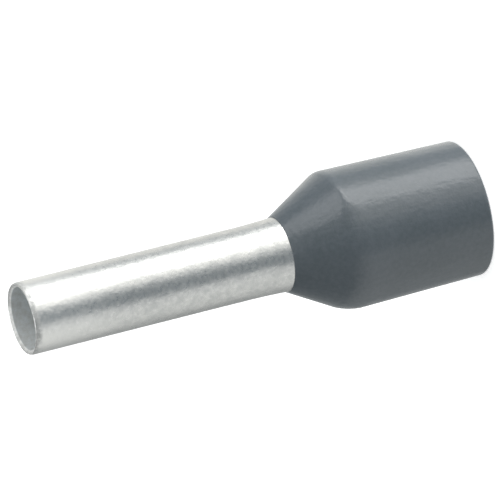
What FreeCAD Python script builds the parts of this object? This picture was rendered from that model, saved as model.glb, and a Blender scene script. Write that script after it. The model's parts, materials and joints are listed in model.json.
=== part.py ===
import FreeCAD, Part
import math
import os

# Wire ferrule with an insulating collar, for a stranded conductor of 4 square millimetres
# It stands on the collar's mouth with the sleeve's tip up, and +Z is the axis of both pieces
# Lengths in millimetres, radii from the axis, heights from the plane of the mouth

# Contact sleeve, one thin copper tube that opens into a bell at its rear end
bore_radius = 1.40
sleeve_wall = 0.20
contact_length = 12.14
bell_lead = 1.99
bell_depth = 3.26
bell_curve_radius = 36.0
tip_taper_length = 0.16
tip_taper_depth = 0.035
tip_outer_rounding = 0.05
tip_inner_chamfer = 0.11

# Insulating collar, one moulding that is held on the bell of the sleeve
collar_length = 8.93
cone_length = 2.56
front_lip = 0.03
socket_radius = 2.40
shoulder_wall = 0.72
mouth_wall = 0.61
funnel_length = 0.50
shoulder_rounding = 1.20
mouth_rounding = 0.10
socket_lead_in = 0.20

# Heights along the axis, from the mouth up to the tip
mouth_height = 0.0
neck_height = mouth_height + collar_length
shoulder_height = neck_height - cone_length
tip_height = neck_height + contact_length
bell_start_height = neck_height + bell_lead

# Outside radii that follow from the bores and the walls
sleeve_radius = bore_radius + sleeve_wall
shoulder_radius = socket_radius + shoulder_wall
mouth_radius = socket_radius + mouth_wall

# The bell's inner and outer faces are arcs about one centre, so its wall stays even
bell_centre_radius = sleeve_radius + bell_curve_radius
inner_curve_radius = bell_curve_radius + sleeve_wall
neck_angle = math.asin(bell_lead / bell_curve_radius)
rim_angle = math.asin((bell_lead + bell_depth) / bell_curve_radius)


def point(radius, height):
    """A point of a turned outline."""
    return FreeCAD.Vector(radius, 0, height)


def bell_point(curve_radius, angle):
    """The point of a bell face at an angle past the end of the straight tube."""
    radius = bell_centre_radius - curve_radius * math.cos(angle)
    height = bell_start_height - curve_radius * math.sin(angle)
    return point(radius, height)


def bell_arc(curve_radius, first_angle, last_angle):
    """The stretch of a bell face between two angles, in the order given."""
    middle_angle = (first_angle + last_angle) / 2
    start = bell_point(curve_radius, first_angle)
    middle = bell_point(curve_radius, middle_angle)
    end = bell_point(curve_radius, last_angle)
    return Part.Arc(start, middle, end).toShape()


def rounding_arc(before, corner, after, rounding):
    """The arc that rounds a corner between its two neighbours, with its two ends."""
    to_before = (before - corner).normalize()
    to_after = (after - corner).normalize()
    half_angle = to_before.getAngle(to_after) / 2
    inward = (to_before + to_after).normalize()
    centre = corner + inward * (rounding / math.sin(half_angle))
    reach = rounding / math.tan(half_angle)
    start = corner + to_before * reach
    end = corner + to_after * reach
    arc = Part.Arc(start, centre - inward * rounding, end).toShape()
    return start, arc, end


def line(start, end):
    """A straight edge of an outline."""
    return Part.LineSegment(start, end).toShape()


def rounded_path(start, corners, end):
    """Straight edges from start to end through corners, each a point and its rounding."""
    stops = [start] + [corner for corner, rounding in corners] + [end]
    edges = []
    last = start
    for index, (corner, rounding) in enumerate(corners):
        if rounding:
            arc_start, arc, arc_end = rounding_arc(stops[index], corner, stops[index + 2], rounding)
            edges += [line(last, arc_start), arc]
            last = arc_end
        else:
            edges.append(line(last, corner))
            last = corner
    edges.append(line(last, end))
    return edges


def turned(edges):
    """The solid that a closed outline sweeps out in one full turn about the axis."""
    face = Part.Face(Part.Wire(edges))
    axis_start = FreeCAD.Vector(0, 0, 0)
    axis_direction = FreeCAD.Vector(0, 0, 1)
    return face.revolve(axis_start, axis_direction, 360)


def contact_sleeve():
    """Straight thin tube with its tip drawn in a little, belled where the collar holds it."""
    outer_bell_start = bell_point(bell_curve_radius, 0)
    inner_bell_start = bell_point(inner_curve_radius, 0)
    outer_rim = bell_point(bell_curve_radius, rim_angle)
    inner_rim = bell_point(inner_curve_radius, rim_angle)
    tip_corners = [
        (point(sleeve_radius, tip_height - tip_taper_length), 0),
        (point(sleeve_radius - tip_taper_depth, tip_height), tip_outer_rounding),
        (point(bore_radius + tip_inner_chamfer, tip_height), 0),
        (point(bore_radius, tip_height - tip_inner_chamfer), 0),
    ]
    edges = rounded_path(outer_bell_start, tip_corners, inner_bell_start)
    edges.append(bell_arc(inner_curve_radius, 0, rim_angle))
    edges.append(line(inner_rim, outer_rim))
    edges.append(bell_arc(bell_curve_radius, rim_angle, 0))
    return turned(edges)


def insulating_collar():
    """Thin-lipped cone and tapering barrel, seated on the bell and open for the wire behind it."""
    neck_seat = bell_point(bell_curve_radius, neck_angle)
    rim_seat = bell_point(bell_curve_radius, rim_angle)
    lip_edge = point(neck_seat.x + front_lip, neck_height)
    corners = [
        (point(socket_radius, rim_seat.z - funnel_length), 0),
        (point(socket_radius, mouth_height + socket_lead_in), 0),
        (point(socket_radius + socket_lead_in, mouth_height), 0),
        (point(mouth_radius, mouth_height), mouth_rounding),
        (point(shoulder_radius, shoulder_height), shoulder_rounding),
        (lip_edge, 0),
    ]
    edges = rounded_path(rim_seat, corners, neck_seat)
    edges.append(bell_arc(bell_curve_radius, neck_angle, rim_angle))
    return turned(edges)


pieces = {
    "contact_sleeve": contact_sleeve(),
    "insulating_collar": insulating_collar(),
}

os.makedirs("parts", exist_ok=True)
for name, shape in pieces.items():
    shape.exportStep(f"parts/{name}.step")
    print(f"{name}: valid {shape.isValid()}, {shape.Volume:.3f} mm3, {len(shape.Faces)} faces")
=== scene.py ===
import json
import math

import bmesh
import bpy
from mathutils import Matrix, Vector


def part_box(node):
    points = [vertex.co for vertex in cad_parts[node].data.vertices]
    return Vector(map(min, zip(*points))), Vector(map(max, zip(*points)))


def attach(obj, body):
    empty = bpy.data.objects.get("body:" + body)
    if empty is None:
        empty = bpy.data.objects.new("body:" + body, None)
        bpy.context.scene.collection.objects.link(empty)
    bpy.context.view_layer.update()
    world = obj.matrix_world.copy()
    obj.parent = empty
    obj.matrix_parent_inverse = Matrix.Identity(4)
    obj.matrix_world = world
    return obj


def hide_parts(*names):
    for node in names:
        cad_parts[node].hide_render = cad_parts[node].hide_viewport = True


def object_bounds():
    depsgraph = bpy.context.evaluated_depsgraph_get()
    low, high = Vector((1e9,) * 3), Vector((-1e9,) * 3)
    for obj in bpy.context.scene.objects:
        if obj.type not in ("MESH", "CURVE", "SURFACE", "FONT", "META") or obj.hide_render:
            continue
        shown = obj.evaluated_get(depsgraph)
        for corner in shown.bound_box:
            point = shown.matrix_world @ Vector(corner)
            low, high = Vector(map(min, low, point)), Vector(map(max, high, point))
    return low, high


bl_info = {
    "name": "Insulated Wire Ferrule",
    "version": (1, 0, 0),
    "blender": (4, 5, 0),
    "location": "View3D > Sidebar > Ferrule",
    "description": "Models a wire ferrule: a belled tube of tinned copper in a moulded collar",
    "category": "Object",
}

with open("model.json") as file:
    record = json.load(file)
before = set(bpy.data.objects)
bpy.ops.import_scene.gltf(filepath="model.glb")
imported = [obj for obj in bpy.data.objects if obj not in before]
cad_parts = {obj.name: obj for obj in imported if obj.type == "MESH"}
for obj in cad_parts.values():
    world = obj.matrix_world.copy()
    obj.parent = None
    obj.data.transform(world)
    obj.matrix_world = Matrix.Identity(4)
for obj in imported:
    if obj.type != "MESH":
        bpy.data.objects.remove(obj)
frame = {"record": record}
cad_lowest, cad_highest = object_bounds()

MM = 0.001
SLEEVE_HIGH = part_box("contact_sleeve")[1]
COLLAR_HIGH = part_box("insulating_collar")[1]
MOUNTS = {mount["name"]: mount["dims"] for mount in frame["record"]["mounts"] if mount["dims"]}

# A turned form has this many sides, so that its outline stays round in a close view
SIDES = 192

# Rings along the bell's curve on the sleeve, and along the collar's seat on it
BELL_RINGS = 14
SEAT_RINGS = 10

# Steps that round each corner of an outline
TIP_STEPS = 5
SHOULDER_STEPS = 14
MOUTH_STEPS = 5
LIP_STEPS = 4

# A ring this far from the shoulder keeps the shading of the long faces beside it even
SUPPORT_DISTANCE = 0.70 * MM

# Vertices this close are merged, and a ring is found within this reach of its place
MERGE_DISTANCE = 0.0005 * MM
RING_REACH = 0.002 * MM

# Faces that meet at less than this angle are shaded as one smooth surface
SMOOTH_BELOW = math.radians(28)


def linear_from_hex(hex_colour):
    """Turns an sRGB hex colour into the linear red, green and blue that a shader takes."""
    channels = [int(hex_colour[place : place + 2], 16) / 255 for place in (1, 3, 5)]
    return tuple(
        value / 12.92 if value <= 0.04045 else ((value + 0.055) / 1.055) ** 2.4 for value in channels
    )


def length(name, description, default):
    """A length in metres that the sidebar shows with its unit."""
    return bpy.props.FloatProperty(
        name=name, description=description, default=default, min=0.0, unit="LENGTH", precision=5
    )


def colour(name, description, hex_colour):
    """A colour that the sidebar shows as a swatch."""
    return bpy.props.FloatVectorProperty(
        name=name,
        description=description,
        default=linear_from_hex(hex_colour),
        subtype="COLOR",
        min=0.0,
        max=1.0,
    )


class FerruleSizes(bpy.types.PropertyGroup):
    """Sizes of the sleeve and the collar."""

    tube_radius: length("Tube radius", "Outside of the bare tube", MOUNTS["contact_outside"]["r_mm"] * MM)
    bore_radius: length("Bore radius", "Inside of the bare tube", MOUNTS["conductor_bore"]["r_mm"] * MM)
    tip_height: length("Tip height", "Top of the tube above the mouth", SLEEVE_HIGH.z)
    bell_lead: length("Bell lead", "How far in front of the collar the tube starts to open", 1.99 * MM)
    bell_depth: length("Bell depth", "How far the bell reaches into the collar", 3.26 * MM)
    bell_curve: length("Bell curve", "Radius of the curve along the bell's outside", 36.0 * MM)
    tip_taper_length: length("Tip taper", "How far below the tip the tube starts to draw in", 0.16 * MM)
    tip_taper_depth: length("Tip taper depth", "How much the tip's outside is drawn in", 0.035 * MM)
    tip_outer_rounding: length("Tip outer rounding", "Rounding of the tip's outer edge", 0.05 * MM)
    tip_inner_chamfer: length("Tip inner chamfer", "Chamfer on the tip's inner edge", 0.11 * MM)
    neck_height: length("Neck height", "Front of the collar above the mouth", COLLAR_HIGH.z)
    front_lip: length("Front lip", "Width of the collar's thin front edge", 0.03 * MM)
    lip_rounding: length("Lip rounding", "Radius of the collar's front edge", 0.03 * MM)
    cone_length: length("Cone length", "From the neck to the shoulder", 2.56 * MM)
    socket_radius: length("Socket radius", "Inside of the wire socket", MOUNTS["wire_socket"]["r_mm"] * MM)
    shoulder_wall: length("Shoulder wall", "Shoulder radius beyond the socket's", 0.72 * MM)
    mouth_wall: length("Mouth wall", "Mouth radius beyond the socket's", 0.61 * MM)
    funnel_length: length("Funnel length", "From the bell's rim to the straight socket", 0.50 * MM)
    crisp_rounding: length("Crisp shoulder", "Radius of the shoulder where it is crisp", 0.60 * MM)
    soft_rounding: length("Soft shoulder", "Radius of the shoulder all round the rest", 2.20 * MM)
    mouth_rounding: length("Mouth rounding", "Radius of the mouth's outer edge", 0.10 * MM)
    socket_lead_in: length("Socket lead-in", "Chamfer inside the mouth", 0.20 * MM)


class FerruleColours(bpy.types.PropertyGroup):
    """Colours of the two finishes and of the floor."""

    tin: colour("Tin", "Matt electroplated tin", "#CFCFCD")
    tin_shade: colour("Tin shade", "The duller clouds of the plating", "#BCBDBC")
    tin_bright: colour("Bright tin", "The brighter plating toward the tip", "#D9D9D7")
    tin_rubbed: colour("Rubbed tin", "The rubbed patches round the tip", "#C4C5C4")
    # Near white: partly the cut metal's own brightness, partly a painted highlight where the edge catches
    # light
    cut_edge_and_highlight: colour("Cut edge", "The chamfer inside the tip", "#F8F8F6")
    bore: colour("Bore", "The tin inside the tube", "#E7EBED")
    bore_shade: colour("Bore shade", "The thinner plating in clouds inside the tube", "#D4D6D4")
    collar: colour("Collar", "Slate grey polypropylene", "#51595E")
    collar_bloom: colour("Collar bloom", "The paler haze on moulded polypropylene", "#5B6268")
    floor: colour("Floor", "White paper", "#F7F7F6")


def start_fresh():
    """Leaves edit mode and deselects everything, because the loaded nodes arrive selected."""
    if bpy.context.mode != "OBJECT":
        bpy.ops.object.mode_set(mode="OBJECT")
    bpy.ops.object.select_all(action="DESELECT")


def start_ring(name, radius, height):
    """Adds a ring about the axis and opens it in edit mode with all of it selected."""
    start_fresh()
    bpy.ops.mesh.primitive_circle_add(
        vertices=SIDES, radius=radius, fill_type="NOTHING", location=(0, 0, height)
    )
    piece = bpy.context.object
    piece.name = piece.data.name = name
    bpy.ops.object.transform_apply(location=True, rotation=True, scale=True)
    bpy.ops.object.mode_set(mode="EDIT")
    bpy.ops.mesh.select_all(action="SELECT")
    return piece


def pull_ring(here, there):
    """Extrudes the selected ring to another radius and height and leaves the new ring selected."""
    rise = there[1] - here[1]
    bpy.ops.mesh.extrude_region_move(TRANSFORM_OT_translate={"value": (0, 0, rise)})
    growth = there[0] / here[0]
    bpy.ops.transform.resize(value=(growth, growth, 1))


def turn_along(path):
    """Pulls the selected ring through every stop of a path, each a radius and a height."""
    for here, there in zip(path, path[1:]):
        pull_ring(here, there)


def stop_between(here, there, distance):
    """The stop at a distance from one stop of a path on the straight line to another."""
    share = distance / math.dist(here, there)
    return here[0] + (there[0] - here[0]) * share, here[1] + (there[1] - here[1]) * share


def select_ring(piece, radius, height):
    """Selects in edit mode only the vertices that lie at one radius and height."""
    mesh = bmesh.from_edit_mesh(piece.data)
    for vertex in mesh.verts:
        at_radius = abs(vertex.co.xy.length - radius) < RING_REACH
        at_height = abs(vertex.co.z - height) < RING_REACH
        vertex.select_set(at_radius and at_height)
    mesh.select_flush_mode()
    bmesh.update_edit_mesh(piece.data)


def cut_corner(piece, corner, width, steps):
    """Bevels the edge loop at one radius and height; one step gives a chamfer, more a rounding."""
    select_ring(piece, *corner)
    bpy.ops.mesh.bevel(offset=width, offset_type="OFFSET", segments=steps, profile=0.5)


def rounding_width(rounding, turn):
    """How far from a corner its rounding starts, where the outline turns by an angle."""
    return rounding * math.tan(turn / 2)


def finish_piece(piece, node, material):
    """Closes edit mode, smooths the round faces and hands the piece to the frame."""
    bpy.ops.mesh.select_all(action="SELECT")
    bpy.ops.mesh.remove_doubles(threshold=MERGE_DISTANCE)
    bpy.ops.mesh.normals_make_consistent(inside=False)
    bpy.ops.object.mode_set(mode="OBJECT")
    bpy.ops.object.shade_smooth_by_angle(angle=SMOOTH_BELOW)
    piece.data.materials.clear()
    piece.data.materials.append(material)
    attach(piece, "root")
    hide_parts(node)


def bell_stop(sizes, angle):
    """The radius and height of the bell's outside at an angle past the end of the straight tube."""
    centre_radius = sizes.tube_radius + sizes.bell_curve
    start_height = sizes.neck_height + sizes.bell_lead
    radius = centre_radius - sizes.bell_curve * math.cos(angle)
    height = start_height - sizes.bell_curve * math.sin(angle)
    return radius, height


def bell_angles(sizes):
    """The angles along the bell's curve at the collar's neck and at the bell's rim."""
    neck = math.asin(sizes.bell_lead / sizes.bell_curve)
    rim = math.asin((sizes.bell_lead + sizes.bell_depth) / sizes.bell_curve)
    return neck, rim


def bell_path(sizes, first, last, rings):
    """Evenly spaced stops along the bell's outside, from one angle to another."""
    step = (last - first) / rings
    return [bell_stop(sizes, first + step * ring) for ring in range(rings + 1)]


# Sockets of a mix node, whose inputs for numbers and for colours share their names
SHARE = 0
FIRST_NUMBER, SECOND_NUMBER, MIXED_NUMBER = 2, 3, 0
FIRST_COLOUR, SECOND_COLOUR, MIXED_COLOUR = 6, 7, 2


def add_node(tree, kind, settings=None, links=None):
    """Adds a shader node, sets its settings and sockets, and links its inputs from other nodes."""
    node = tree.nodes.new(kind)
    for name, value in (settings or {}).items():
        if isinstance(name, int) or name in node.inputs:
            node.inputs[name].default_value = value
        else:
            setattr(node, name, value)
    for name, source in (links or {}).items():
        tree.links.new(source, node.inputs[name])
    return node


def new_material(name):
    """An empty node material with its tree, and the object coordinates of the piece."""
    material = bpy.data.materials.new(name)
    material.use_nodes = True
    tree = material.node_tree
    tree.nodes.clear()
    place = add_node(tree, "ShaderNodeTexCoord").outputs["Object"]
    return material, tree, place


# Widths of the patterns in the tin. The real grain is a few thousandths of a millimetre wide,
# too fine to show, so it is drawn as coarse as it needs to be to give the matt sparkle
TIN_GRAIN = 0.16 * MM
TIN_CLOUD = 0.35 * MM
TIN_DENT = 0.70 * MM

# Values of the noise at which the clouds are dullest and brightest, and at which the rim's
# rubbing is weakest and strongest
CLOUD_SPREAD = (0.35, 0.65)
RUBBED_SPREAD = (0.60, 0.42)

# Relief of the grain, and of the shallow dents that the tubes give each other in bulk
TIN_GRAIN_RELIEF = 0.009 * MM
TIN_DENT_RELIEF = 0.018 * MM

# How far from the tip the tube starts to look brighter and is brightest
BRIGHT_START = 4.5 * MM
BRIGHT_END = 0.8 * MM

# How far from the tip the rubbed patches start and are strongest
RUBBED_START = 0.32 * MM
RUBBED_END = 0.14 * MM

# Roughness of the duller and the burnished clouds, what a grain adds to it and what handling
# adds at the tip, and the roughness of the rubbed patches and of the bore
DULL_ROUGHNESS = 0.14
BURNISHED_ROUGHNESS = 0.10
GRAIN_ROUGHNESS = 0.38
HANDLED_ROUGHNESS = 0.05
RUBBED_ROUGHNESS = 0.75
BORE_ROUGHNESS = 0.80

# How much of a metal's mirror the unburnished tin in the bore keeps
BORE_METALLIC = 0.25

# How far out from the bore's wall its own look ends and the cut edge's look begins
BORE_MARGIN = 0.005 * MM
EDGE_MARGIN = 0.015 * MM


def tin_zones(tree, place, sizes):
    """Masks of the tube's zones: near the tip, at its rim, past the bore's wall, and outside."""
    height = add_node(tree, "ShaderNodeSeparateXYZ", links={0: place}).outputs["Z"]
    near_tip = add_node(
        tree,
        "ShaderNodeMapRange",
        {"From Min": sizes.tip_height - BRIGHT_START, "From Max": sizes.tip_height - BRIGHT_END},
        {"Value": height},
    ).outputs["Result"]
    at_rim = add_node(
        tree,
        "ShaderNodeMapRange",
        {"From Min": sizes.tip_height - RUBBED_START, "From Max": sizes.tip_height - RUBBED_END},
        {"Value": height},
    ).outputs["Result"]
    across = add_node(
        tree, "ShaderNodeVectorMath", {"operation": "MULTIPLY", 1: (1, 1, 0)}, {0: place}
    ).outputs["Vector"]
    radius = add_node(
        tree, "ShaderNodeVectorMath", {"operation": "LENGTH"}, {0: across}
    ).outputs["Value"]
    edge_start = sizes.bore_radius + EDGE_MARGIN
    edge_end = edge_start + sizes.tip_inner_chamfer
    past_bore = add_node(
        tree,
        "ShaderNodeMapRange",
        {"From Min": sizes.bore_radius + BORE_MARGIN, "From Max": edge_start},
        {"Value": radius},
    ).outputs["Result"]
    outside = add_node(
        tree, "ShaderNodeMapRange", {"From Min": edge_start, "From Max": edge_end}, {"Value": radius}
    ).outputs["Result"]
    return near_tip, at_rim, past_bore, outside


# Matt tin that was electroplated on copper tube looks soft silver white: its highlight is broad
# and blurred and breaks up in a fine salt-and-pepper grain where it fades, over faint duller
# clouds. The end is paler and rubbed dull in patches round its rim. Inside, where nothing
# burnishes the plating, it is a pale grey that hardly reflects
def tinned_copper(colours, sizes):
    """Copper tube with matt tin electroplated on it, for the contact sleeve."""
    material, tree, place = new_material("electroplated_tin_on_copper")
    near_tip, at_rim, past_bore, outside = tin_zones(tree, place, sizes)

    # Patterns of the plating
    grain = add_node(
        tree, "ShaderNodeTexNoise", {"Scale": 1 / TIN_GRAIN, "Detail": 2.5}, {"Vector": place}
    ).outputs["Fac"]
    cloud = add_node(
        tree,
        "ShaderNodeTexNoise",
        {"Scale": 1 / TIN_CLOUD, "Detail": 5.0, "Roughness": 0.7},
        {"Vector": place},
    ).outputs["Fac"]
    dent = add_node(
        tree, "ShaderNodeTexNoise", {"Scale": 1 / TIN_DENT, "Detail": 2.0}, {"Vector": place}
    ).outputs["Fac"]
    mottle = add_node(
        tree,
        "ShaderNodeMapRange",
        {"From Min": CLOUD_SPREAD[0], "From Max": CLOUD_SPREAD[1]},
        {"Value": cloud},
    ).outputs["Result"]
    rubbed_patch = add_node(
        tree,
        "ShaderNodeMapRange",
        {"From Min": RUBBED_SPREAD[0], "From Max": RUBBED_SPREAD[1]},
        {"Value": cloud},
    ).outputs["Result"]
    rubbed = add_node(
        tree, "ShaderNodeMath", {"operation": "MULTIPLY"}, {0: at_rim, 1: rubbed_patch}
    ).outputs[0]

    # Colour outside: clouded tin, brighter near the tip, with rubbed patches round the rim
    clouded = add_node(
        tree,
        "ShaderNodeMix",
        {"data_type": "RGBA", FIRST_COLOUR: (*colours.tin_shade, 1), SECOND_COLOUR: (*colours.tin, 1)},
        {SHARE: mottle},
    ).outputs[MIXED_COLOUR]
    brightened = add_node(
        tree,
        "ShaderNodeMix",
        {"data_type": "RGBA", SECOND_COLOUR: (*colours.tin_bright, 1)},
        {SHARE: near_tip, FIRST_COLOUR: clouded},
    ).outputs[MIXED_COLOUR]
    outer_colour = add_node(
        tree,
        "ShaderNodeMix",
        {"data_type": "RGBA", SECOND_COLOUR: (*colours.tin_rubbed, 1)},
        {SHARE: rubbed, FIRST_COLOUR: brightened},
    ).outputs[MIXED_COLOUR]

    # Colour inside: the bore's pale tin and, past its wall, the cut edge: bright cut metal with a painted
    # highlight
    bore = add_node(
        tree,
        "ShaderNodeMix",
        {"data_type": "RGBA", FIRST_COLOUR: (*colours.bore_shade, 1), SECOND_COLOUR: (*colours.bore, 1)},
        {SHARE: mottle},
    ).outputs[MIXED_COLOUR]
    edge = add_node(
        tree,
        "ShaderNodeMix",
        {"data_type": "RGBA", FIRST_COLOUR: (*colours.tin, 1), SECOND_COLOUR: (*colours.cut_edge_and_highlight, 1)},
        {SHARE: mottle},
    ).outputs[MIXED_COLOUR]
    inner_colour = add_node(
        tree,
        "ShaderNodeMix",
        {"data_type": "RGBA"},
        {SHARE: past_bore, FIRST_COLOUR: bore, SECOND_COLOUR: edge},
    ).outputs[MIXED_COLOUR]
    base_colour = add_node(
        tree,
        "ShaderNodeMix",
        {"data_type": "RGBA"},
        {SHARE: outside, FIRST_COLOUR: inner_colour, SECOND_COLOUR: outer_colour},
    ).outputs[MIXED_COLOUR]

    # Roughness: each grain reflects more or less sharply, which speckles the fading highlight
    burnish = add_node(
        tree,
        "ShaderNodeMapRange",
        {"To Min": DULL_ROUGHNESS, "To Max": BURNISHED_ROUGHNESS},
        {"Value": mottle},
    ).outputs["Result"]
    speckled = add_node(
        tree,
        "ShaderNodeMath",
        {"operation": "MULTIPLY_ADD", 1: GRAIN_ROUGHNESS},
        {0: grain, 2: burnish},
    ).outputs[0]
    handled = add_node(
        tree,
        "ShaderNodeMath",
        {"operation": "MULTIPLY_ADD", 1: HANDLED_ROUGHNESS},
        {0: near_tip, 2: speckled},
    ).outputs[0]
    worn = add_node(
        tree,
        "ShaderNodeMix",
        {"data_type": "FLOAT", SECOND_NUMBER: RUBBED_ROUGHNESS},
        {SHARE: rubbed, FIRST_NUMBER: handled},
    ).outputs[MIXED_NUMBER]
    roughness = add_node(
        tree,
        "ShaderNodeMix",
        {"data_type": "FLOAT", FIRST_NUMBER: BORE_ROUGHNESS},
        {SHARE: outside, SECOND_NUMBER: worn},
    ).outputs[MIXED_NUMBER]
    metal = add_node(
        tree, "ShaderNodeMapRange", {"To Min": BORE_METALLIC, "To Max": 1.0}, {"Value": outside}
    ).outputs["Result"]

    # Relief: fine grain on shallow dents
    dents = add_node(
        tree, "ShaderNodeBump", {"Strength": 1.0, "Distance": TIN_DENT_RELIEF}, {"Height": dent}
    ).outputs["Normal"]
    relief = add_node(
        tree,
        "ShaderNodeBump",
        {"Strength": 1.0, "Distance": TIN_GRAIN_RELIEF},
        {"Height": grain, "Normal": dents},
    ).outputs["Normal"]
    shader = add_node(
        tree,
        "ShaderNodeBsdfPrincipled",
        links={"Base Color": base_colour, "Metallic": metal, "Roughness": roughness, "Normal": relief},
    )
    add_node(tree, "ShaderNodeOutputMaterial", links={"Surface": shader.outputs["BSDF"]})
    return material


# Widths of the patterns in the polypropylene: slow waves from its shrinking as it cools, streaks
# along the axis from its push out of the mould, and the skin that it copies from the mould's
# steel. The real skin is too fine to show, so it is drawn as coarse as it needs to be
SHRINK_WAVE = 3.0 * MM
DRAG_STREAK = 0.30 * MM
MOULD_SKIN = 0.20 * MM

# A streak's width as a share of its length
STREAK_SHARE = 0.2

# Sums of the two noises at which the haze is faintest and palest
HAZE_SPREAD = (0.7, 1.3)

# Relief of the waves, and of the streaks and the skin together
SHRINK_WAVE_RELIEF = 0.055 * MM
MOULD_SKIN_RELIEF = 0.013 * MM

# Roughness at the mouth and at the neck
MOUTH_ROUGHNESS = 0.20
NECK_ROUGHNESS = 0.262

# Index of refraction: polypropylene's own is 1.49, and this one matches the photo's highlights
COLLAR_IOR = 1.55


# Polypropylene that was injection moulded and pushed out of a finely ground mould looks satin:
# its highlights are broad with soft, slightly wavy borders, over a waxy slate grey with paler
# haze, and it shines a little more toward the mouth
def moulded_polypropylene(colours, sizes):
    """Injection-moulded grey polypropylene, for the insulating collar."""
    material, tree, place = new_material("moulded_grey_polypropylene")

    # Patterns of the moulding
    waves = add_node(
        tree, "ShaderNodeTexNoise", {"Scale": 1 / SHRINK_WAVE, "Detail": 2.0}, {"Vector": place}
    ).outputs["Fac"]
    stretched = add_node(
        tree, "ShaderNodeVectorMath", {"operation": "MULTIPLY", 1: (1, 1, STREAK_SHARE)}, {0: place}
    ).outputs["Vector"]
    streaks = add_node(
        tree, "ShaderNodeTexNoise", {"Scale": 1 / DRAG_STREAK, "Detail": 2.0}, {"Vector": stretched}
    ).outputs["Fac"]
    skin = add_node(
        tree, "ShaderNodeTexNoise", {"Scale": 1 / MOULD_SKIN, "Detail": 3.0}, {"Vector": place}
    ).outputs["Fac"]

    # Colour: a paler haze in patches, from where the waves and the skin rise together
    patches = add_node(tree, "ShaderNodeMath", {"operation": "ADD"}, {0: waves, 1: skin}).outputs[0]
    haze = add_node(
        tree,
        "ShaderNodeMapRange",
        {"From Min": HAZE_SPREAD[0], "From Max": HAZE_SPREAD[1]},
        {"Value": patches},
    ).outputs["Result"]
    base_colour = add_node(
        tree,
        "ShaderNodeMix",
        {
            "data_type": "RGBA",
            FIRST_COLOUR: (*colours.collar, 1),
            SECOND_COLOUR: (*colours.collar_bloom, 1),
        },
        {SHARE: haze},
    ).outputs[MIXED_COLOUR]

    # Roughness: from the glossier mouth up to the neck
    height = add_node(tree, "ShaderNodeSeparateXYZ", links={0: place}).outputs["Z"]
    roughness = add_node(
        tree,
        "ShaderNodeMapRange",
        {"From Max": sizes.neck_height, "To Min": MOUTH_ROUGHNESS, "To Max": NECK_ROUGHNESS},
        {"Value": height},
    ).outputs["Result"]

    # Relief: streaks and skin on the slow waves
    fine = add_node(tree, "ShaderNodeMath", {"operation": "ADD"}, {0: streaks, 1: skin}).outputs[0]
    swell = add_node(
        tree, "ShaderNodeBump", {"Strength": 1.0, "Distance": SHRINK_WAVE_RELIEF}, {"Height": waves}
    ).outputs["Normal"]
    relief = add_node(
        tree,
        "ShaderNodeBump",
        {"Strength": 1.0, "Distance": MOULD_SKIN_RELIEF},
        {"Height": fine, "Normal": swell},
    ).outputs["Normal"]
    shader = add_node(
        tree,
        "ShaderNodeBsdfPrincipled",
        {"IOR": COLLAR_IOR},
        {"Base Color": base_colour, "Roughness": roughness, "Normal": relief},
    )
    add_node(tree, "ShaderNodeOutputMaterial", links={"Surface": shader.outputs["BSDF"]})
    return material


# The shoulder is crisp about this bearing from the camera's side, and soft past these half-widths
CRISP_BEARING = math.radians(75)
CRISP_HALF_WIDTH = math.radians(38)
SOFT_HALF_WIDTH = math.radians(62)


def crispness(spot):
    """How crisp the shoulder is at a place on it, from 0 for soft to 1 for crisp."""
    bearing = math.atan2(spot.x, -spot.y)
    aside = abs(math.remainder(bearing - CRISP_BEARING, math.tau))
    share = (SOFT_HALF_WIDTH - aside) / (SOFT_HALF_WIDTH - CRISP_HALF_WIDTH)
    share = min(max(share, 0), 1)
    return share * share * (3 - 2 * share)


def soften_shoulder(piece, shoulder, sizes):
    """Widens the selected crisp rounding about its corner, as far as the shoulder is soft there."""
    widest = sizes.soft_rounding / sizes.crisp_rounding
    mesh = bmesh.from_edit_mesh(piece.data)
    for vertex in mesh.verts:
        if vertex.select:
            outward = vertex.co.xy.normalized() * shoulder[0]
            corner = Vector((*outward, shoulder[1]))
            growth = widest + (1 - widest) * crispness(vertex.co)
            vertex.co = corner + (vertex.co - corner) * growth
    bmesh.update_edit_mesh(piece.data)


class FERRULE_OT_contact_sleeve(bpy.types.Operator):
    """Model the thin tinned tube, drawn in and chamfered at its tip and belled in the collar"""

    bl_idname = "ferrule.contact_sleeve"
    bl_label = "Contact Sleeve"

    def execute(self, context):
        sizes = context.scene.ferrule_sizes
        rim_angle = bell_angles(sizes)[1]
        tip = (sizes.tube_radius, sizes.tip_height)
        taper_start = (sizes.tube_radius, sizes.tip_height - sizes.tip_taper_length)
        straight = (sizes.tube_radius, sizes.tip_height - 2 * sizes.tip_taper_length)
        piece = start_ring("belled_tin_sleeve", *tip)
        turn_along([tip, taper_start, straight] + bell_path(sizes, 0, rim_angle, BELL_RINGS))
        bpy.ops.mesh.select_all(action="SELECT")
        bpy.ops.mesh.normals_make_consistent(inside=False)
        bpy.ops.object.mode_set(mode="OBJECT")
        wall = piece.modifiers.new("wall", "SOLIDIFY")
        wall.thickness = sizes.tube_radius - sizes.bore_radius
        wall.offset = -1
        wall.use_even_offset = True
        bpy.ops.object.modifier_apply(modifier=wall.name)
        bpy.ops.object.mode_set(mode="EDIT")
        select_ring(piece, *tip)
        drawn_in = (sizes.tube_radius - sizes.tip_taper_depth, sizes.tip_height)
        shrink = drawn_in[0] / tip[0]
        bpy.ops.transform.resize(value=(shrink, shrink, 1))
        tip_slope = math.atan2(sizes.tip_taper_depth, sizes.tip_taper_length)
        tip_width = rounding_width(sizes.tip_outer_rounding, math.pi / 2 - tip_slope)
        cut_corner(piece, drawn_in, tip_width, TIP_STEPS)
        cut_corner(piece, (sizes.bore_radius, sizes.tip_height), sizes.tip_inner_chamfer, 1)
        material = tinned_copper(context.scene.ferrule_colours, sizes)
        finish_piece(piece, "contact_sleeve", material)
        return {"FINISHED"}


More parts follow.
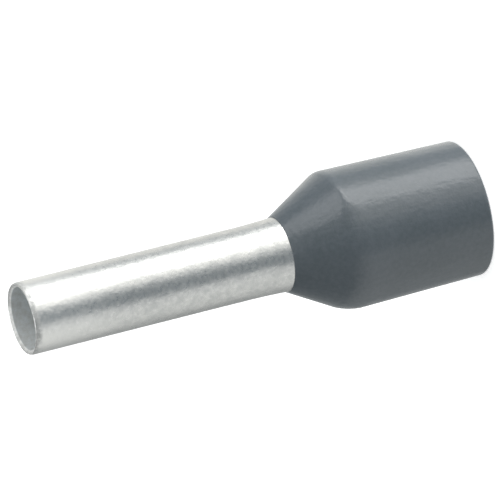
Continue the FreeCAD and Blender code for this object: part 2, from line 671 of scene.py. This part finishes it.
class FERRULE_OT_insulating_collar(bpy.types.Operator):
    """Model the moulded collar: lip, cone, rounded shoulder, tapering barrel and wire socket"""

    bl_idname = "ferrule.insulating_collar"
    bl_label = "Insulating Collar"

    def execute(self, context):
        sizes = context.scene.ferrule_sizes
        seat = bell_path(sizes, *bell_angles(sizes), SEAT_RINGS)
        lip = (seat[0][0] + sizes.front_lip, sizes.neck_height)
        shoulder = (sizes.socket_radius + sizes.shoulder_wall, sizes.neck_height - sizes.cone_length)
        mouth = (sizes.socket_radius + sizes.mouth_wall, 0)
        outside = [
            lip,
            stop_between(shoulder, lip, SUPPORT_DISTANCE),
            shoulder,
            stop_between(shoulder, mouth, SUPPORT_DISTANCE),
            stop_between(mouth, shoulder, 2 * sizes.mouth_rounding),
            mouth,
        ]
        inside = [
            (sizes.socket_radius + sizes.socket_lead_in, 0),
            (sizes.socket_radius, sizes.socket_lead_in),
            (sizes.socket_radius, seat[-1][1] - sizes.funnel_length),
        ]
        piece = start_ring("moulded_collar", *lip)
        turn_along(outside + inside + seat[::-1] + [lip])
        bpy.ops.mesh.select_all(action="SELECT")
        bpy.ops.mesh.remove_doubles(threshold=MERGE_DISTANCE)
        cone_slope = math.atan2(shoulder[0] - lip[0], lip[1] - shoulder[1])
        barrel_slope = math.atan2(shoulder[0] - mouth[0], shoulder[1] - mouth[1])
        shoulder_width = rounding_width(sizes.crisp_rounding, cone_slope + barrel_slope)
        mouth_width = rounding_width(sizes.mouth_rounding, math.pi / 2 - barrel_slope)
        lip_width = rounding_width(sizes.lip_rounding, math.pi / 2 - cone_slope)
        cut_corner(piece, shoulder, shoulder_width, SHOULDER_STEPS)
        soften_shoulder(piece, shoulder, sizes)
        cut_corner(piece, mouth, mouth_width, MOUTH_STEPS)
        cut_corner(piece, lip, lip_width, LIP_STEPS)
        material = moulded_polypropylene(context.scene.ferrule_colours, sizes)
        finish_piece(piece, "insulating_collar", material)
        return {"FINISHED"}


# The camera's place, from where the photo shows the ferrule in its square frame
FRAME_PIXELS = 500
PIXELS_PER_MM = 23.11
TIP_PIXEL = (24.08, 318.55)
TUBE_RISE = math.radians(14.08)
CAMERA_ELEVATION = math.radians(20.5)
LENS_MM = 600
SENSOR_MM = 36


def photo_camera(sizes):
    """A long lens, rolled so that the standing tube lies tip to the left and rises to the right."""
    toward_camera = Vector((0, -math.cos(CAMERA_ELEVATION), math.sin(CAMERA_ELEVATION)))
    level_right = Vector((1, 0, 0))
    level_up = toward_camera.cross(level_right)
    roll = -(math.pi / 2 + TUBE_RISE)
    right = level_right * math.cos(roll) + level_up * math.sin(roll)
    up = level_up * math.cos(roll) - level_right * math.sin(roll)
    tip = Vector((0, 0, sizes.tip_height))
    middle = Vector((0, 0, sizes.tip_height / 2))
    tip_right = (TIP_PIXEL[0] - FRAME_PIXELS / 2) / PIXELS_PER_MM * MM
    tip_up = (FRAME_PIXELS / 2 - TIP_PIXEL[1]) / PIXELS_PER_MM * MM
    aim = tip - right * tip_right - up * tip_up
    aim += toward_camera * (middle - aim).dot(toward_camera)
    distance = LENS_MM / SENSOR_MM * FRAME_PIXELS / PIXELS_PER_MM * MM
    camera = bpy.data.objects.new("photo_camera", bpy.data.cameras.new("photo_camera"))
    bpy.context.scene.collection.objects.link(camera)
    camera.data.lens = LENS_MM
    camera.data.sensor_width = SENSOR_MM
    camera.data.clip_start = distance / 100
    camera.data.clip_end = distance * 10
    turn = Matrix((right, up, toward_camera)).transposed()
    camera.matrix_world = Matrix.Translation(aim + toward_camera * distance) @ turn.to_4x4()
    bpy.context.scene.camera = camera


# The soft lights stand this far from the ferrule's middle, in metres
SOFTBOX_DISTANCE = 0.25

# Each soft light's bearing and elevation, its width and height as the ferrule sees them, all in
# degrees, and its brightness. Bearing 0 is the camera's side
SOFTBOXES = {
    "key_softbox": (65.5, -24, 35, 44, 2.40),
    "edge_strip": (65.5, -6, 35, 16, 1.7),
    "upper_softbox": (66, 29, 42, 28, 1.7),
    "tip_card": (0, 70, 30, 30, 1.5),
    "back_card": (180, 20, 44, 38, 0.9),
}


def softbox(name, bearing, elevation, wide, tall, brightness):
    """A soft white light that faces the ferrule."""
    light = bpy.data.lights.new(name, "AREA")
    light.shape = "RECTANGLE"
    light.size = 2 * SOFTBOX_DISTANCE * math.tan(math.radians(wide) / 2)
    light.size_y = 2 * SOFTBOX_DISTANCE * math.tan(math.radians(tall) / 2)
    light.energy = brightness * math.pi * light.size * light.size_y
    lamp = bpy.data.objects.new(name, light)
    bpy.context.scene.collection.objects.link(lamp)
    turn, rise = math.radians(bearing), math.radians(elevation)
    outward = Vector((math.sin(turn) * math.cos(rise), -math.cos(turn) * math.cos(rise), math.sin(rise)))
    lamp.location = outward * SOFTBOX_DISTANCE + (cad_lowest + cad_highest) / 2
    lamp.rotation_mode = "QUATERNION"
    lamp.rotation_quaternion = outward.to_track_quat("Z", "Y")
    lamp.visible_camera = False


# How bright the room's walls are around the ferrule: bearing in degrees, strength and tint
ROOM_BY_BEARING = (
    (-180, 0.60, "#F4F8F8"),
    (-140, 0.46, "#F4F8F8"),
    (-105, 0.90, "#FBFDFB"),
    (-75, 1.02, "#FBFDFB"),
    (-42, 0.97, "#FBFDFD"),
    (-27, 0.36, "#E6F3FB"),
    (-6, 0.36, "#E6F3FB"),
    (5, 0.48, "#EFF7FB"),
    (14, 0.85, "#F4F9FB"),
    (23, 1.30, "#FFFFFC"),
    (32, 1.50, "#FFFFFC"),
    (42, 1.78, "#FFFFFC"),
    (82, 1.40, "#FFFFFC"),
    (97, 1.20, "#F6FAFB"),
    (108, 0.74, "#F2F8FB"),
    (118, 0.72, "#F2F8FB"),
    (128, 1.12, "#FEFEFA"),
    (165, 1.12, "#FEFEFA"),
    (180, 0.60, "#F4F8F8"),
)
BRIGHTEST_WALL = max(strength for degrees, strength, tint in ROOM_BY_BEARING)

# The walls fade upward to this share, between two rises of the line of sight (its height over
# its length), and the ceiling and the table take over between two more each
WALL_TOP_SHARE = 0.21
WALL_FADE = (-0.10, 0.30)
CEILING_FADE = (0.78, 0.86)
TABLE_FADE = (-0.62, -0.78)
CEILING_STRENGTH, CEILING_TINT = 1.62, "#F6F9FA"
TABLE_STRENGTH, TABLE_TINT = 1.05, "#FAFCFD"


def studio_world():
    """A pale room that lights the ferrule, behind the plain white that the camera sees."""
    world = bpy.data.worlds.new("pale_room")
    bpy.context.scene.world = world
    world.use_nodes = True
    tree = world.node_tree
    tree.nodes.clear()
    direction = add_node(tree, "ShaderNodeTexCoord").outputs["Generated"]
    parts = add_node(tree, "ShaderNodeSeparateXYZ", links={0: direction}).outputs

    # Walls, by bearing and by rise
    toward_camera = add_node(
        tree, "ShaderNodeMath", {"operation": "MULTIPLY", 1: -1.0}, {0: parts["Y"]}
    ).outputs[0]
    bearing = add_node(
        tree, "ShaderNodeMath", {"operation": "ARCTAN2"}, {0: parts["X"], 1: toward_camera}
    ).outputs[0]
    turn = add_node(
        tree, "ShaderNodeMapRange", {"From Min": -math.pi, "From Max": math.pi}, {"Value": bearing}
    ).outputs["Result"]
    ramp = add_node(tree, "ShaderNodeValToRGB", links={"Fac": turn})
    stops = ramp.color_ramp.elements
    while len(stops) < len(ROOM_BY_BEARING):
        stops.new(1.0)
    for stop, (degrees, strength, tint) in zip(stops, ROOM_BY_BEARING):
        stop.position = (degrees + 180) / 360
        share = strength / BRIGHTEST_WALL
        stop.color = (*(share * value for value in linear_from_hex(tint)), 1)
    wall_strength = add_node(
        tree,
        "ShaderNodeMapRange",
        {
            "From Min": WALL_FADE[0],
            "From Max": WALL_FADE[1],
            "To Min": BRIGHTEST_WALL,
            "To Max": WALL_TOP_SHARE * BRIGHTEST_WALL,
        },
        {"Value": parts["Z"]},
    ).outputs["Result"]
    walls = add_node(
        tree, "ShaderNodeBackground", links={"Color": ramp.outputs["Color"], "Strength": wall_strength}
    ).outputs[0]

    # Ceiling and table, each a plain surface that takes over from what lies between them
    overhead = add_node(
        tree,
        "ShaderNodeMapRange",
        {"From Min": CEILING_FADE[0], "From Max": CEILING_FADE[1]},
        {"Value": parts["Z"]},
    ).outputs["Result"]
    ceiling = add_node(
        tree,
        "ShaderNodeBackground",
        {"Color": (*linear_from_hex(CEILING_TINT), 1), "Strength": CEILING_STRENGTH},
    ).outputs[0]
    above = add_node(tree, "ShaderNodeMixShader", links={0: overhead, 1: walls, 2: ceiling}).outputs[0]
    underneath = add_node(
        tree,
        "ShaderNodeMapRange",
        {"From Min": TABLE_FADE[0], "From Max": TABLE_FADE[1]},
        {"Value": parts["Z"]},
    ).outputs["Result"]
    table = add_node(
        tree,
        "ShaderNodeBackground",
        {"Color": (*linear_from_hex(TABLE_TINT), 1), "Strength": TABLE_STRENGTH},
    ).outputs[0]
    room = add_node(tree, "ShaderNodeMixShader", links={0: underneath, 1: above, 2: table}).outputs[0]

    # White backdrop, for the camera alone
    seen = add_node(tree, "ShaderNodeLightPath").outputs["Is Camera Ray"]
    backdrop = add_node(tree, "ShaderNodeBackground", {"Color": (1, 1, 1, 1)}).outputs[0]
    surface = add_node(tree, "ShaderNodeMixShader", links={0: seen, 1: room, 2: backdrop}).outputs[0]
    add_node(tree, "ShaderNodeOutputWorld", links={"Surface": surface})


# The floor's side, in metres, and how rough its paper is and how much it glows
FLOOR_SIZE = 3.0
PAPER_ROUGHNESS = 0.9
PAPER_GLOW = 0.50


# White paper looks dull and even. This sheet glows a little, so that it renders pure white even
# where the ferrule shades it, because the photo shows no shadow
def white_paper(colours):
    """Plain white paper, for the floor."""
    material, tree = new_material("white_paper")[:2]
    shader = add_node(
        tree,
        "ShaderNodeBsdfPrincipled",
        {
            "Base Color": (*colours.floor, 1),
            "Roughness": PAPER_ROUGHNESS,
            "Emission Color": (1, 1, 1, 1),
            "Emission Strength": PAPER_GLOW,
        },
    )
    add_node(tree, "ShaderNodeOutputMaterial", links={"Surface": shader.outputs["BSDF"]})
    return material


class FERRULE_OT_studio(bpy.types.Operator):
    """Set up the pale floor, the soft lights and the camera"""

    bl_idname = "ferrule.studio"
    bl_label = "Studio"

    def execute(self, context):
        start_fresh()
        bpy.ops.mesh.primitive_plane_add(size=FLOOR_SIZE)
        floor = context.object
        floor.name = floor.data.name = "studio_floor"
        floor.data.materials.append(white_paper(context.scene.ferrule_colours))

        # The room's light reaches the ferrule from below too, because the photo shows it held clear
        floor.visible_glossy = False
        floor.visible_diffuse = False
        floor.visible_shadow = False
        for name, settings in SOFTBOXES.items():
            softbox(name, *settings)
        studio_world()
        photo_camera(context.scene.ferrule_sizes)
        context.scene.view_settings.view_transform = "Standard"
        return {"FINISHED"}


class VIEW3D_PT_ferrule(bpy.types.Panel):
    """Sidebar panel with the ferrule's sizes, colours and build buttons."""

    bl_label = "Wire Ferrule"
    bl_idname = "VIEW3D_PT_ferrule"
    bl_space_type = "VIEW_3D"
    bl_region_type = "UI"
    bl_category = "Ferrule"

    def draw(self, context):
        column = self.layout.column(align=True)
        for settings in (context.scene.ferrule_sizes, context.scene.ferrule_colours):
            for name in settings.__annotations__:
                column.prop(settings, name)
        for operator in OPERATORS:
            column.operator(operator.bl_idname)


OPERATORS = (FERRULE_OT_contact_sleeve, FERRULE_OT_insulating_collar, FERRULE_OT_studio)
CLASSES = (FerruleSizes, FerruleColours, *OPERATORS, VIEW3D_PT_ferrule)


def register():
    """Adds the classes, and the sizes and colours that a scene keeps."""
    for each in CLASSES:
        bpy.utils.register_class(each)
    bpy.types.Scene.ferrule_sizes = bpy.props.PointerProperty(type=FerruleSizes)
    bpy.types.Scene.ferrule_colours = bpy.props.PointerProperty(type=FerruleColours)


def unregister():
    """Takes away what register added."""
    del bpy.types.Scene.ferrule_colours
    del bpy.types.Scene.ferrule_sizes
    for each in reversed(CLASSES):
        bpy.utils.unregister_class(each)


def main():
    """Builds every piece and the studio."""
    register()
    bpy.ops.ferrule.contact_sleeve()
    bpy.ops.ferrule.insulating_collar()
    bpy.ops.ferrule.studio()


if __name__ == "__main__":
    main()
